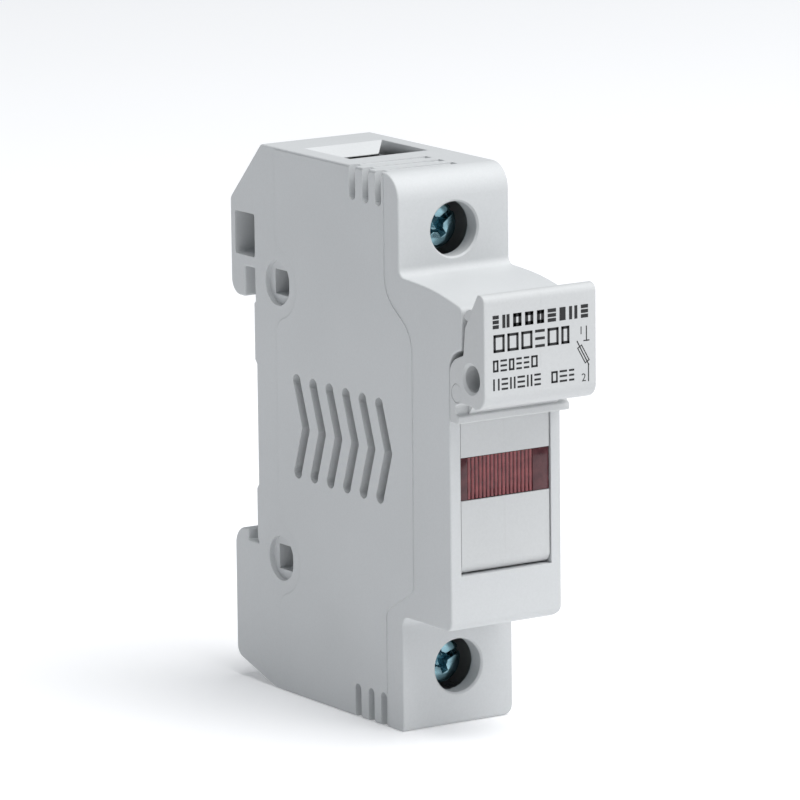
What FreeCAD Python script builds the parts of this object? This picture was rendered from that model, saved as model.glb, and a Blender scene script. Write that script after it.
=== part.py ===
import FreeCAD, Part
import math
import os

# Modular cartridge fuse holder for a 35 mm top-hat rail, one pole, for 10 x 38 fuse links.
# Millimetres. X is across the module, -Y is the front, +Z is up. The origin is the middle of the
# bounding box, on the lower end that the holder stands on. Depths are measured from the rail plane
# towards the front, so a point behind the rail plane has a negative depth.

Vector = FreeCAD.Vector
along_x = Vector(1, 0, 0)
along_y = Vector(0, 1, 0)
along_z = Vector(0, 0, 1)

# --- driving dimensions ---
width = 18.0
height = 76.5
handle_depth = 57.5
hook_depth = -5.8
body_depth = 48.9
terminal_depth = 36.9
rail_y = (handle_depth + hook_depth) / 2

side_step = 0.12
side_x = width / 2
rim_x = side_x - side_step
edge_round = 0.25
handle_round = 0.2
lower_corner_radius = 1.6
inner_left_x = -7.2
inner_right_x = 7.4
middle_x = 0.15
wall = 1.6
fit_gap = 0.08

body_bottom_z = 16.1
body_top_z = 62.8
sill_z = 23.6
lip_underside_z = 59.4

screw_z = {"upper": 68.4, "lower": 8.1}
driver_hole_radius = 3.75
driver_hole_rim = 0.25
front_wall = 2.5

recess_places = ((6.3, 57.6), (6.3, 18.8))
recess_radius = 3.15
recess_deep = 0.9
square_hole = 3.5

vent_count = 6
vent_pitch = 4.15
vent_width = 1.95
vent_first_depth = 11.1
vent_middle_z = 38.25
vent_half_height = 6.35
vent_bend = 2.2

slot_depths = (25.8, 29.1, 32.2)
slot_width = 1.5
slot_length = 3.95
slot_deep = 1.0
groove_end_x = 3.4
groove_start_x = -7.3
ramp_height = 1.4
groove_deep = (0.12, 0.25)

funnel_outer = (6.3, 9.4, 21.0)
funnel_inner = (4.5, 11.3, 19.1)
funnel_deep = 1.5
funnel_neck = 2.6
funnel_wall_deep = 3.2
funnel_seam = 0.03
funnel_corner_seam = 0.12
flap_rim = 0.1
arm_deep = 2.5

fuse_depth = 38.0
fuse_z = 37.0
fuse_length = 38.0
cap_radius = 5.15
cap_length = 10.0
barrel_radius = 4.9
barrel_bore = 3.6
end_thick = 0.6

pivot_depth = 47.2
pivot_z = 25.2
trunnion_radius = 1.3
trunnion_clearance = 0.05

panel_left_x = -7.0
panel_right_x = 7.25
panel_depth = 48.7
panel_back = 47.1
panel_top_z = 46.0
lens_low_z = 33.8
lens_high_z = 39.7
board_half_width = 5.9
board_back = 43.9
board_front = 44.5
board_low_z = 30.2
board_high_z = 45.0

strip = 1.2
tongue_depth = 19.0
web_depth = 30.0
jaw_half_gap = 5.35
jaw_arm = 0.8
jaw_height = 8.0
jaw_front = 41.4
jaw_lip_out = 0.9
shelf_z = 58.0
tongue_half = 4.6
tongue_reach = 4.4
spring_sheet = 0.4
spring_half_height = 2.0

head_radius = 3.3
head_front = 32.6
head_back = 29.4
shank_radius = 2.5
shank_end = 20.4
recess_turn = {"upper": 35, "lower": 20}
recess_arm = (2.1, 0.5, 1.7)
slot_cut = (0.45, 1.0)
thread_clearance = 0.05

cage_back = 11.0
cage_wall = 1.5
cage_front = 23.3
cage_front_wall = 2.5
cage_half_width = 6.3
cage_half_height = 4.6

post_radius = 1.2
socket_wall = 1.1
socket_end_x = 3.0
boss_left = inner_left_x - 0.5
boss_right = inner_right_x - 0.2
boss_wall = 1.2
rib_thick = 1.2
post_places = ((4.9, 70.3), (4.9, 7.4), (22.6, 49.2), (22.6, 26.6))


# --- helpers ---
def y_at(depth):
    return rail_y - depth


def block(x_low, x_high, depth_low, depth_high, z_low, z_high):
    corner = Vector(x_low, y_at(depth_high), z_low)
    return Part.makeBox(x_high - x_low, depth_high - depth_low, z_high - z_low, corner)


def cross_rod(radius, depth, z, x_low, x_high):
    return Part.makeCylinder(radius, x_high - x_low, Vector(x_low, y_at(depth), z), along_x)


def deep_rod(radius, x, z, depth_low, depth_high):
    return Part.makeCylinder(radius, depth_high - depth_low, Vector(x, y_at(depth_high), z), along_y)


def upright_rod(radius, x, depth, z_low, z_high):
    return Part.makeCylinder(radius, z_high - z_low, Vector(x, y_at(depth), z_low), along_z)


def rounded_wire(points, radii):
    """Closed wire through the corners, each rounded by a tangent arc where its radius isn't zero."""
    count = len(points)
    starts = []
    ends = []
    middles = []
    for index in range(count):
        corner = points[index]
        before = (points[index - 1] - corner).normalize()
        after = (points[(index + 1) % count] - corner).normalize()
        radius = radii[index]
        half_turn = math.acos(max(-1.0, min(1.0, before.dot(after)))) / 2
        if radius == 0 or half_turn > math.radians(89.9):
            starts.append(corner)
            ends.append(corner)
            middles.append(None)
            continue
        reach = radius / math.tan(half_turn)
        bisector = (before + after).normalize()
        centre = corner + bisector * (radius / math.sin(half_turn))
        starts.append(corner + before * reach)
        ends.append(corner + after * reach)
        middles.append(centre - bisector * radius)
    edges = []
    for index in range(count):
        if middles[index] is not None:
            edges.append(Part.Arc(starts[index], middles[index], ends[index]).toShape())
        following = (index + 1) % count
        if (starts[following] - ends[index]).Length > 1e-6:
            edges.append(Part.LineSegment(ends[index], starts[following]).toShape())
    return Part.Wire(edges)


def slab(corners, x_low, x_high, inset=0):
    """Extrude a side-view outline of (depth, z, radius) corners across the module."""
    points = [Vector(x_low, y_at(corner[0]), corner[1]) for corner in corners]
    radii = [corner[2] if len(corner) > 2 else 0 for corner in corners]
    face = Part.Face(rounded_wire(points, radii))
    if inset:
        face = face.makeOffset2D(-inset)
    return face.extrude(Vector(x_high - x_low, 0, 0))


def corner_trim(edge_x, edge_z, radius, depth_low, depth_high):
    """Waste outside a rounded lower corner that runs from front to back at the edge (x, z)."""
    side = 1 if edge_x > 0 else -1
    y = y_at(depth_high)
    inner_x = edge_x - side * radius
    high_z = edge_z + radius
    part_way = radius * (1 - math.sqrt(0.5))
    arc_start = Vector(inner_x, y, edge_z)
    arc_middle = Vector(edge_x - side * part_way, y, edge_z + part_way)
    arc_end = Vector(edge_x, y, high_z)
    outside = [arc_end, Vector(edge_x + side, y, high_z), Vector(edge_x + side, y, edge_z - 1)]
    outside += [Vector(inner_x, y, edge_z - 1), arc_start]
    edges = [Part.Arc(arc_start, arc_middle, arc_end).toShape()]
    edges += [Part.LineSegment(start, end).toShape() for start, end in zip(outside, outside[1:])]
    return Part.Face(Part.Wire(edges)).extrude(Vector(0, depth_high - depth_low, 0))


def join(shapes):
    return shapes[0].multiFuse(shapes[1:]).removeSplitter()


def edges_on_x(shape, x):
    """The outline edges of the flat side face at x."""
    found = []
    for edge in shape.Edges:
        box = edge.BoundBox
        if abs(box.XMin - x) < 1e-6 and abs(box.XMax - x) < 1e-6:
            found.append(edge)
    return found


def mirror_z(shape, z):
    return shape.mirror(Vector(0, 0, z), along_z)


nodes = {}


# --- housing ---
housing_outline = (
    (terminal_depth, 0, 0.6),
    (terminal_depth, body_bottom_z, 1.5),
    (body_depth, body_bottom_z, 1.2),
    (body_depth, 53.9, 2.6),
    (51.85, 55.0, 0.3),
    (52.15, 60.6, 1.0),
    (45.5, 62.35, 45.0),
    (terminal_depth, body_top_z, 1.2),
    (terminal_depth, height, 3.5),
    (2.35, height, 0.8),
    (hook_depth, 68.1, 1.0),
    (hook_depth, 54.5, 2.2),
    (-2.25, 54.5, 0.4),
    (-2.25, 58.85, 0.3),
    (0.35, 58.85, 0.3),
    (0.35, 54.2),
    (0, 53.9),
    (0, 46.0),
    (0.5, 45.3),
    (0.5, 28.4),
    (0, 27.7),
    (0, 20.5),
    (0.3, 20.2),
    (0.3, 19.95),
    (-2.4, 19.95, 0.2),
    (-2.4, 21.5, 0.3),
    (hook_depth, 21.5, 2.6),
    (hook_depth, 3.05, 1.8),
    (4.25, 0, 1.5),
)

plateau_back = 6.0
pad_radius = 5.0
pad_blend = 2.5


def pad_corners(depth, z):
    """Corners that swing the plateau's back edge round a coupling recess."""
    across = plateau_back + pad_blend - depth
    blend_z = math.sqrt((pad_radius + pad_blend) ** 2 - across ** 2)
    share = pad_radius / (pad_radius + pad_blend)
    touch_depth = depth + across * share
    touch_z = blend_z * share
    slope = across / blend_z
    outer_z = touch_z + (touch_depth - plateau_back) * slope
    front = depth + pad_radius
    inner_z = touch_z - (front - touch_depth) * slope
    return (
        (plateau_back, z - outer_z, pad_blend),
        (front, z - inner_z, pad_radius),
        (front, z + inner_z, pad_radius),
        (plateau_back, z + outer_z, pad_blend),
    )


side_plateau = (
    (plateau_back, 0.3),
    *pad_corners(*recess_places[1]),
    *pad_corners(*recess_places[0]),
    (plateau_back, height - 0.3),
    (33.4, height - 0.3),
    (33.4, 60.0, 5.0),
    (40.0, 55.3, 5.0),
    (39.8, 20.0, 1.2),
    (33.0, 16.3, 1.8),
    (33.0, 0.3),
)

cavity_outline = (
    (terminal_depth - front_wall, 1.7),
    (terminal_depth - front_wall, body_bottom_z + 1.5),
    (body_depth - wall, body_bottom_z + 1.5),
    (body_depth - wall, sill_z),
    (60.0, sill_z),
    (60.0, lip_underside_z),
    (terminal_depth - front_wall, lip_underside_z),
    (terminal_depth - front_wall, height - wall),
    (3.3, height - wall),
    (1.9, height - wall - 1.5),
    (1.9, 18.2),
    (-3.8, 18.2),
    (-3.8, 4.4),
    (4.6, 1.7),
)

cover_outline = (
    (terminal_depth - wall, 2.3, 1.0),
    (terminal_depth - wall, body_bottom_z + 2.3, 1.0),
    (45.6, body_bottom_z + 2.3, 1.0),
    (45.6, 61.0, 1.0),
    (terminal_depth - wall, 61.4, 1.0),
    (terminal_depth - wall, height - 1.0, 2.5),
    (2.9, height - 1.0, 0.8),
    (1.1, height - 2.9, 0.8),
    (1.1, 19.0, 0.8),
    (-4.6, 19.0, 0.8),
    (-4.6, 4.9, 0.8),
    (3.6, 2.3, 0.8),
)


def rail_hook_window(x_low, x_high):
    return slab(((-4.6, 60.35, 0.4), (0.5, 60.35, 0.4), (0.5, 66.4, 0.4), (-4.6, 66.4, 0.4)), x_low, x_high)


def coupling_hole(depth, z, x_face, direction):
    """Round recess in a side face with a square hole through its floor, for a clip between poles."""
    floor_x = x_face - direction * recess_deep
    recess = cross_rod(recess_radius, depth, z, min(x_face, floor_x), max(x_face, floor_x))
    half = square_hole / 2
    square = block(-side_x, side_x, depth - half, depth + half, z - half, z + half)
    return recess.fuse(square)


def vent(depth, x_low, x_high):
    """One chevron slot with round ends."""
    half = vent_width / 2
    tops = []
    for end in (1, -1):
        tops.append((depth + half, vent_middle_z + end * vent_half_height, 0))
        tops.append((depth - half, vent_middle_z + end * vent_half_height, 0))
    bend_out = (depth + vent_bend + half, vent_middle_z, 0.6)
    bend_in = (depth + vent_bend - half, vent_middle_z, 0.6)
    outline = (tops[0], bend_out, tops[2], tops[3], bend_in, tops[1])
    ends = [
        cross_rod(half, depth, vent_middle_z + end * vent_half_height, x_low, x_high)
        for end in (1, -1)
    ]
    return join([slab(outline, x_low, x_high)] + ends)


def all_vents(x_low, x_high):
    return [vent(vent_first_depth + index * vent_pitch, x_low, x_high) for index in range(vent_count)]


def corner_slots(top):
    """Finger slots at an end's front corner: a pocket in the left side, a ramp, and a groove on the end."""
    cuts = []
    half = slot_width / 2
    face_z = height if top else 0
    inward = -1 if top else 1
    pocket_z = face_z + inward * slot_length
    floor_x = -side_x + slot_deep
    profile = (
        (-side_x - 1, pocket_z),
        (floor_x, pocket_z),
        (floor_x, face_z + inward * ramp_height),
        (groove_start_x, face_z + inward * groove_deep[0]),
        (groove_end_x, face_z + inward * groove_deep[1]),
        (groove_end_x, face_z - inward),
        (-side_x - 1, face_z - inward),
    )
    for depth in slot_depths:
        points = [Vector(x, y_at(depth + half), z) for x, z in profile]
        face = Part.Face(Part.makePolygon(points + [points[0]]))
        end = cross_rod(half, depth, pocket_z, -side_x - 1, floor_x)
        cuts.append(join([face.extrude(Vector(0, slot_width, 0)), end]))
    return cuts


def ring_wire(half, back, front, z):
    """Rectangle on a level plane, with its sides across the module and its ends at two depths."""
    corners = ((-half, back), (half, back), (half, front), (-half, front))
    points = [Vector(middle_x + x, y_at(depth), z) for x, depth in corners]
    return Part.makePolygon(points + [points[0]])


def funnel(top):
    """Wire entry: a shallow four-sided funnel in the end wall, then a straight neck."""
    face_z = height if top else 0
    inward = -1 if top else 1
    rim = ring_wire(*funnel_outer, face_z - inward * 0.001)
    throat = ring_wire(*funnel_inner, face_z + inward * funnel_deep)
    inner_half, inner_back, inner_front = funnel_inner
    neck_ends = sorted((face_z + inward * (funnel_deep - 0.01), face_z + inward * (funnel_neck + 0.1)))
    neck = block(middle_x - inner_half, middle_x + inner_half, inner_back, inner_front, *neck_ends)
    return [Part.makeLoft([rim, throat], True, True), neck]


def funnel_flap(top, gap, corner_gap):
    """A funnel's far slope and the block behind it: the cover's own, or the shell's room for it."""
    face_z = height if top else 0
    inward = -1 if top else 1
    outer_half, outer_back, outer_front = funnel_outer
    inner_half, inner_back, inner_front = funnel_inner
    far_x = middle_x + outer_half + flap_rim + gap
    levels = (
        (0, outer_half, outer_back, outer_front),
        (funnel_deep, inner_half, inner_back, inner_front),
        (funnel_wall_deep, inner_half, inner_back, inner_front),
    )
    rings = []
    for deep, near, back, front in levels:
        near_x = middle_x + near
        corners = ((near_x, back), (near_x, front), (far_x, front), (far_x, back))
        inset = (corner_gap, -corner_gap, -corner_gap, corner_gap)
        z = face_z + inward * deep
        points = [Vector(x, y_at(depth + move), z) for (x, depth), move in zip(corners, inset)]
        rings.append(Part.makePolygon(points + [points[0]]))
    return Part.makeLoft(rings, True, True)


def flap_arm(top):
    """Arm inside the end wall that joins a funnel's far slope to the cover."""
    inner_half, inner_back, inner_front = funnel_inner
    z_low, z_high = sorted(height - deep if top else deep for deep in (arm_deep, funnel_wall_deep))
    back = inner_back + funnel_corner_seam
    front = inner_front - funnel_corner_seam
    return block(middle_x + inner_half, inner_right_x + 0.5, back, front, z_low, z_high)


def make_shell():
    body = slab(housing_outline, -rim_x, rim_x)
    body = body.makeFillet(edge_round, edges_on_x(body, -rim_x))
    plateau = slab(side_plateau, -side_x, -rim_x + 0.5)
    body = join([body, plateau.common(slab(housing_outline, -side_x, rim_x))])

    cuts = [slab(cavity_outline, inner_left_x, inner_right_x)]
    cuts.append(slab(cover_outline, inner_right_x, side_x + 1))
    cuts.append(rail_hook_window(-side_x - 1, side_x + 1))
    for top in (True, False):
        cuts.extend(funnel(top))
        cuts.append(funnel_flap(top, funnel_seam, 0))
        cuts.extend(corner_slots(top))
    for name in screw_z:
        z = screw_z[name]
        cuts.append(deep_rod(driver_hole_radius, middle_x, z, terminal_depth - 4, terminal_depth + 1))
        rim_start = Vector(middle_x, y_at(terminal_depth + 0.1), z)
        rim_radius = driver_hole_radius + driver_hole_rim + 0.1
        rim_length = driver_hole_rim + 0.1
        cuts.append(Part.makeCone(rim_radius, driver_hole_radius, rim_length, rim_start, along_y))
    cuts.extend(all_vents(-side_x - 1, inner_left_x + 1))
    body = body.cut(cuts)

    body = body.cut(corner_trim(rim_x, 0, lower_corner_radius, -10, terminal_depth + 1))
    body = body.cut(corner_trim(rim_x, body_bottom_z, lower_corner_radius, terminal_depth + 0.05, 60))

    bosses = []
    for depth, z in recess_places:
        half = square_hole / 2 + boss_wall
        bosses.append(block(boss_left, boss_right, depth - half, depth + half, z - half, z + half))
    for depth, z in post_places:
        bosses.append(cross_rod(post_radius + socket_wall, depth, z, boss_left, socket_end_x))
    for z_low, z_high in ((46.5, 57.8), (16.5, 27.8)):
        bosses.append(block(boss_left, boss_right, 26.6, 28.0, z_low, z_high))
    for z_low in (61.2, 13.2):
        bosses.append(block(boss_left, boss_right, 1.5, 18.6, z_low, z_low + rib_thick))
        bosses.append(block(boss_left, boss_right, 20.8, 34.8, z_low, z_low + rib_thick))
    body = join([body] + bosses)

    holes = [coupling_hole(depth, z, -side_x, -1) for depth, z in recess_places]
    holes += [cross_rod(post_radius, depth, z, -3.0, socket_end_x + 0.1) for depth, z in post_places]
    bearing = trunnion_radius + trunnion_clearance
    holes.append(cross_rod(bearing, pivot_depth, pivot_z, inner_left_x - 1.1, inner_left_x + 0.1))
    holes.append(cross_rod(bearing, pivot_depth, pivot_z, inner_right_x - 0.1, inner_right_x + 1.0))
    return body.cut(holes)


def make_cover():
    plate = slab(cover_outline, inner_right_x, side_x, fit_gap)
    plate = plate.makeFillet(edge_round, edges_on_x(plate, side_x))
    added = []
    for top in (True, False):
        added.append(funnel_flap(top, 0, funnel_corner_seam))
        added.append(flap_arm(top))
    for depth, z in post_places:
        added.append(cross_rod(post_radius, depth, z, -2.0, inner_right_x + 0.5))
    plate = join([plate] + added)
    cuts = [coupling_hole(depth, z, side_x, 1) for depth, z in recess_places]
    cuts += all_vents(inner_right_x - 1, side_x + 1)
    return plate.cut(cuts)


nodes["housing_shell"] = make_shell()
nodes["housing_cover"] = make_cover()


# --- contacts, with their jaws, springs and terminals ---
def contact(tongue_top):
    """Strip bent from the upper terminal tongue, over a shelf, to a U-shaped jaw."""
    jaw_low = fuse_z + fuse_length / 2 - cap_length + 0.8
    left = middle_x - tongue_half
    right = middle_x + tongue_half
    outer = jaw_half_gap + jaw_arm
    web_back = web_depth - strip
    parts = [
        block(left, right, tongue_depth, tongue_depth + strip, shelf_z, tongue_top),
        block(left, right, tongue_depth, web_depth, shelf_z, shelf_z + strip),
        block(left, right, web_back, web_depth, jaw_low, shelf_z + strip),
        block(middle_x - outer, middle_x + outer, web_back, web_depth, jaw_low, jaw_low + jaw_height),
    ]
    for side in (1, -1):
        near = middle_x + side * jaw_half_gap
        far = middle_x + side * outer
        profile = (
            (near, web_back),
            (near, jaw_front),
            (near + side * jaw_lip_out, jaw_front + 1.2),
            (far + side * jaw_lip_out, jaw_front + 1.0),
            (far, jaw_front - 0.3),
            (far, web_back),
        )
        points = [Vector(x, y_at(depth), jaw_low) for x, depth in profile]
        face = Part.Face(Part.makePolygon(points + [points[0]]))
        parts.append(face.extrude(Vector(0, 0, jaw_height)))
    return join(parts)


def jaw_spring(jaw_middle_z):
    """Steel clip round the outside of a jaw."""
    inner = jaw_half_gap + jaw_arm + 0.02
    outer = inner + spring_sheet
    back = web_depth - strip - 0.02
    low = jaw_middle_z - spring_half_height
    high = jaw_middle_z + spring_half_height
    parts = [block(middle_x - outer, middle_x + outer, back - spring_sheet, back, low, high)]
    for side in (1, -1):
        x_low = middle_x + min(side * inner, side * outer)
        parts.append(block(x_low, x_low + spring_sheet, back - spring_sheet, jaw_front - 1.5, low, high))
    return join(parts)


def terminal_cage(name):
    """Box that the screw draws towards the front, with a threaded front wall and a ribbed back wall."""
    z = screw_z[name]
    low = z - cage_half_height
    high = z + cage_half_height
    outer = block(middle_x - cage_half_width, middle_x + cage_half_width, cage_back, cage_front, low, high)
    outer = outer.makeFillet(0.8, [edge for edge in outer.Edges if abs(edge.tangentAt(0).z) > 0.9])
    inner_half = cage_half_width - 1.2
    window = block(
        middle_x - inner_half,
        middle_x + inner_half,
        cage_back + cage_wall,
        cage_front - cage_front_wall,
        low - 1,
        high + 1,
    )
    bore = deep_rod(shank_radius + thread_clearance, middle_x, z, cage_front - 4, cage_front + 1)
    cage = outer.cut([window, bore])
    grooves = [
        cross_rod(0.35, cage_back + cage_wall, z + step * 2.0, middle_x - inner_half, middle_x + inner_half)
        for step in (-1, 0, 1)
    ]
    return cage.cut(grooves)


def terminal_screw(name):
    """Round head with a crossed and slotted recess, and a plain shank in place of the thread."""
    z = screw_z[name]
    head = deep_rod(head_radius, middle_x, z, head_back, head_front)
    rim = [edge for edge in head.Edges if edge.BoundBox.YMax < y_at(head_front) + 1e-6]
    head = head.makeFillet(0.5, rim)
    shank = deep_rod(shank_radius, middle_x, z, shank_end, head_back)
    screw = join([head, shank])
    arm_long, arm_wide, arm_deep_in = recess_arm
    slot_half, slot_deep_in = slot_cut
    cuts = []
    for turn in (0, 90):
        arm = block(-arm_long, arm_long, head_front - arm_deep_in, head_front + 1, -arm_wide, arm_wide)
        arm.rotate(Vector(0, 0, 0), along_y, turn)
        cuts.append(arm)
    reach = head_radius + 1
    cuts.append(block(-reach, reach, head_front - slot_deep_in, head_front + 1, -slot_half, slot_half))
    for cut in cuts:
        cut.rotate(Vector(0, 0, 0), along_y, recess_turn[name])
        cut.translate(Vector(middle_x, 0, z))
    return screw.cut(cuts)


upper_jaw_z = fuse_z + fuse_length / 2 - cap_length + 0.8 + jaw_height / 2
nodes["upper_contact"] = contact(screw_z["upper"] + tongue_reach)
nodes["upper_jaw_spring"] = jaw_spring(upper_jaw_z)
nodes["lower_contact"] = mirror_z(contact(2 * fuse_z - screw_z["lower"] + tongue_reach), fuse_z)
nodes["lower_jaw_spring"] = mirror_z(jaw_spring(upper_jaw_z), fuse_z)
for name in screw_z:
    nodes[name + "_terminal_cage"] = terminal_cage(name)
    nodes[name + "_terminal_screw"] = terminal_screw(name)


# --- fuse link ---
def fuse_cap(end):
    """Pressed metal cup on one end of the barrel."""
    outer_z = fuse_z + end * fuse_length / 2
    inner_z = outer_z - end * cap_length
    low = min(outer_z, inner_z)
    cup = upright_rod(cap_radius, middle_x, fuse_depth, low, low + cap_length)
    end_edge = []
    for edge in cup.Edges:
        box = edge.BoundBox
        if abs(box.ZMin - outer_z) < 1e-3 and box.XLength > 1:
            end_edge.append(edge)
    cup = cup.makeFillet(0.5, end_edge)
    bore_low = low - 1 if end > 0 else low + end_thick
    bore_high = low + cap_length - end_thick if end > 0 else low + cap_length + 1
    return cup.cut(upright_rod(barrel_radius, middle_x, fuse_depth, bore_low, bore_high))


barrel_low = fuse_z - fuse_length / 2 + end_thick
barrel_high = fuse_z + fuse_length / 2 - end_thick
element_half = (1.5, 0.1)
barrel = upright_rod(barrel_radius, middle_x, fuse_depth, barrel_low, barrel_high)
barrel_hollow = upright_rod(barrel_bore, middle_x, fuse_depth, barrel_low - 1, barrel_high + 1)
element = block(
    middle_x - element_half[0],
    middle_x + element_half[0],
    fuse_depth - element_half[1],
    fuse_depth + element_half[1],
    barrel_low,
    barrel_high,
)
necks = [
    deep_rod(0.9, middle_x + side * element_half[0], fuse_z + step * 6.0, fuse_depth - 1, fuse_depth + 1)
    for side in (1, -1)
    for step in (-2, -1, 0, 1, 2)
]
nodes["fuse_barrel"] = barrel.cut(barrel_hollow)
nodes["fuse_cap_upper"] = fuse_cap(1)
nodes["fuse_cap_lower"] = fuse_cap(-1)
nodes["fuse_element"] = element.cut(necks)
filler = upright_rod(barrel_bore, middle_x, fuse_depth, barrel_low, barrel_high)
nodes["fuse_filler"] = filler.cut(nodes["fuse_element"])


# --- carrier: two halves with the handle, and what rides in them ---
handle_outline = (
    (49.15, 44.9, 0.5),
    (51.2, 44.9, 0.25),
    (51.2, 45.9, 0.25),
    (50.55, 46.2, 0.2),
    (50.55, 47.3, 0.4),
    (52.0, 47.8, 0.8),
    (54.5, 47.8, 0.3),
    (55.0, 47.5, 0.25),
    (handle_depth, 47.5, 2.1),
    (handle_depth, 63.1, 1.1),
    (55.95, 63.1, 0.4),
    (52.9, 58.2, 0.8),
    (52.45, 54.45, 0.3),
    (49.15, 53.2, 2.6),
)

neck_outline = (
    (46.5, 45.0, 0.3),
    (50.0, 45.0),
    (53.0, 49.0),
    (53.0, 58.6, 0.3),
    (52.4, 59.1, 0.3),
    (50.2, 59.1, 0.4),
    (49.4, 58.0, 0.4),
    (46.5, 57.0, 0.5),
)

handle_pocket = (
    (51.8, 51.0, 0.5),
    (56.0, 51.0, 0.5),
    (56.0, 60.8, 0.3),
    (54.2, 58.2, 0.3),
    (54.2, 56.8, 0.3),
    (48.5, 56.0, 0.5),
    (48.5, 51.5, 0.5),
)

cheek_outline = (
    (35.5, 29.5, 1.0),
    (44.6, 29.5, 1.0),
    (44.6, 23.9, 0.6),
    (pivot_depth, 23.7, 0.0),
    (panel_depth, 23.7, 1.45),
    (panel_depth, panel_top_z),
    (44.0, panel_top_z, 0.8),
    (44.0, 43.2, 1.0),
    (35.5, 43.2, 1.5),
)

panel_outline = (
    (panel_back, 23.72),
    (panel_depth, 23.7, 1.45),
    (panel_depth, panel_top_z),
    (panel_back, panel_top_z),
)

tie_hole = (54.35, 51.5)
tie_radius = 1.8
tie_rim = 0.35
tie_wall = 0.8
dowel_place = (50.85, 49.1)
dowel_radius = 1.25
dowel_gap = 0.05
dowel_sunk = 0.05
latch_nose = ((52.4, 59.5), (52.85, 60.4), (53.6, 60.75), (54.6, 60.75), (53.6, 59.0))
latch_half_width = 8.7
carrier_wall = 1.5
lens_side_gap = 0.05


def carrier_whole():
    """Both halves as one body, before the split at the middle."""
    tie_depth, tie_z = tie_hole
    handle = slab(handle_outline, -side_x, side_x)
    handle = handle.makeFillet(handle_round, edges_on_x(handle, -side_x) + edges_on_x(handle, side_x))
    neck = slab(neck_outline, panel_left_x, panel_right_x)
    parts = [handle, neck, slab(panel_outline, panel_left_x, panel_right_x)]
    parts.append(slab(cheek_outline, panel_left_x, panel_left_x + carrier_wall))
    parts.append(slab(cheek_outline, panel_right_x - carrier_wall, panel_right_x))
    for x_low, x_high in ((panel_left_x, panel_left_x + 2.35), (panel_right_x - 2.45, panel_right_x)):
        parts.append(block(x_low, x_high, 35.5, 36.4, 31.0, 42.0))
    parts.append(cross_rod(trunnion_radius, pivot_depth, pivot_z, inner_left_x - 1.0, inner_left_x + 1.5))
    parts.append(cross_rod(trunnion_radius, pivot_depth, pivot_z, inner_right_x - 1.5, inner_right_x + 0.9))
    body = join(parts)
    pocket = slab(handle_pocket, -side_x + carrier_wall, side_x - carrier_wall)
    body = body.cut(pocket.cut(cross_rod(tie_radius + tie_wall, tie_depth, tie_z, -side_x, side_x)))
    dowel_depth, dowel_z = dowel_place
    lens_gap = block(
        panel_left_x - 0.5,
        panel_right_x + 0.5,
        panel_back - 0.1,
        panel_depth + 0.5,
        lens_low_z,
        lens_high_z,
    )
    rims = []
    for side in (1, -1):
        start = Vector(side * (side_x + 0.1), y_at(tie_depth), tie_z)
        rim_radius = tie_radius + tie_rim + 0.1
        rims.append(Part.makeCone(rim_radius, tie_radius, tie_rim + 0.1, start, along_x * -side))
    cuts = [
        cross_rod(tie_radius, tie_depth, tie_z, -side_x - 1, side_x + 1),
        cross_rod(dowel_radius + dowel_gap, dowel_depth, dowel_z, -side_x - 1, side_x + 1),
        lens_gap,
        board_slot(),
    ]
    for cut in cuts + rims:
        body = body.cut(cut)
    return join([body, slab(latch_nose, -latch_half_width, latch_half_width)])


def board_slot():
    return block(
        middle_x - board_half_width - fit_gap,
        middle_x + board_half_width + fit_gap,
        board_back - fit_gap / 2,
        board_front + fit_gap / 2,
        board_low_z - fit_gap,
        board_high_z + fit_gap,
    )


def carrier_half(whole, x_low, x_high):
    return whole.common(block(x_low, x_high, 30.0, 60.0, 20.0, 66.0))


def bent_leaf(route, thickness, x_low, x_high):
    """Strip of sheet that follows a route of (depth, z) points, with its back on the route."""
    points = [Vector(0, y_at(depth), z) for depth, z in route]
    normals = []
    for start, end in zip(points, points[1:]):
        run = (end - start).normalize()
        normals.append(Vector(0, -run.z, run.y))
    offsets = [points[0] + normals[0] * thickness]
    for index in range(1, len(points) - 1):
        corner = (normals[index - 1] + normals[index]).normalize()
        offsets.append(points[index] + corner * (thickness / corner.dot(normals[index])))
    offsets.append(points[-1] + normals[-1] * thickness)
    ring = [Vector(x_low, point.y, point.z) for point in points + offsets[::-1]]
    return Part.Face(Part.makePolygon(ring + [ring[0]])).extrude(Vector(x_high - x_low, 0, 0))


whole = carrier_whole()
nodes["carrier_left"] = carrier_half(whole, -side_x - 2, 0)
nodes["carrier_right"] = carrier_half(whole, 0, side_x + 2)

dowel_depth, dowel_z = dowel_place
nodes["carrier_dowel"] = cross_rod(
    dowel_radius,
    dowel_depth,
    dowel_z,
    -side_x + dowel_sunk,
    side_x - dowel_sunk,
)

lens_plate = block(
    panel_left_x,
    panel_right_x,
    panel_back,
    panel_depth - 0.1,
    lens_low_z + lens_side_gap,
    lens_high_z - lens_side_gap,
)
nodes["indicator_lens"] = lens_plate
nodes["indicator_board"] = block(
    middle_x - board_half_width,
    middle_x + board_half_width,
    board_back,
    board_front,
    board_low_z,
    board_high_z,
)

lamp_radius = 1.15
lamp_length = 5.2
lamp_centre = (board_front + lamp_radius, 36.75)
nodes["indicator_lamp"] = cross_rod(
    lamp_radius,
    lamp_centre[0],
    lamp_centre[1],
    middle_x - lamp_length / 2,
    middle_x + lamp_length / 2,
)
resistor_radius = 0.7
nodes["indicator_resistors"] = Part.makeCompound([
    cross_rod(resistor_radius, board_front + resistor_radius, z, middle_x - 2.2, middle_x + 2.2)
    for z in (32.6, 41.6)
])

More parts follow.
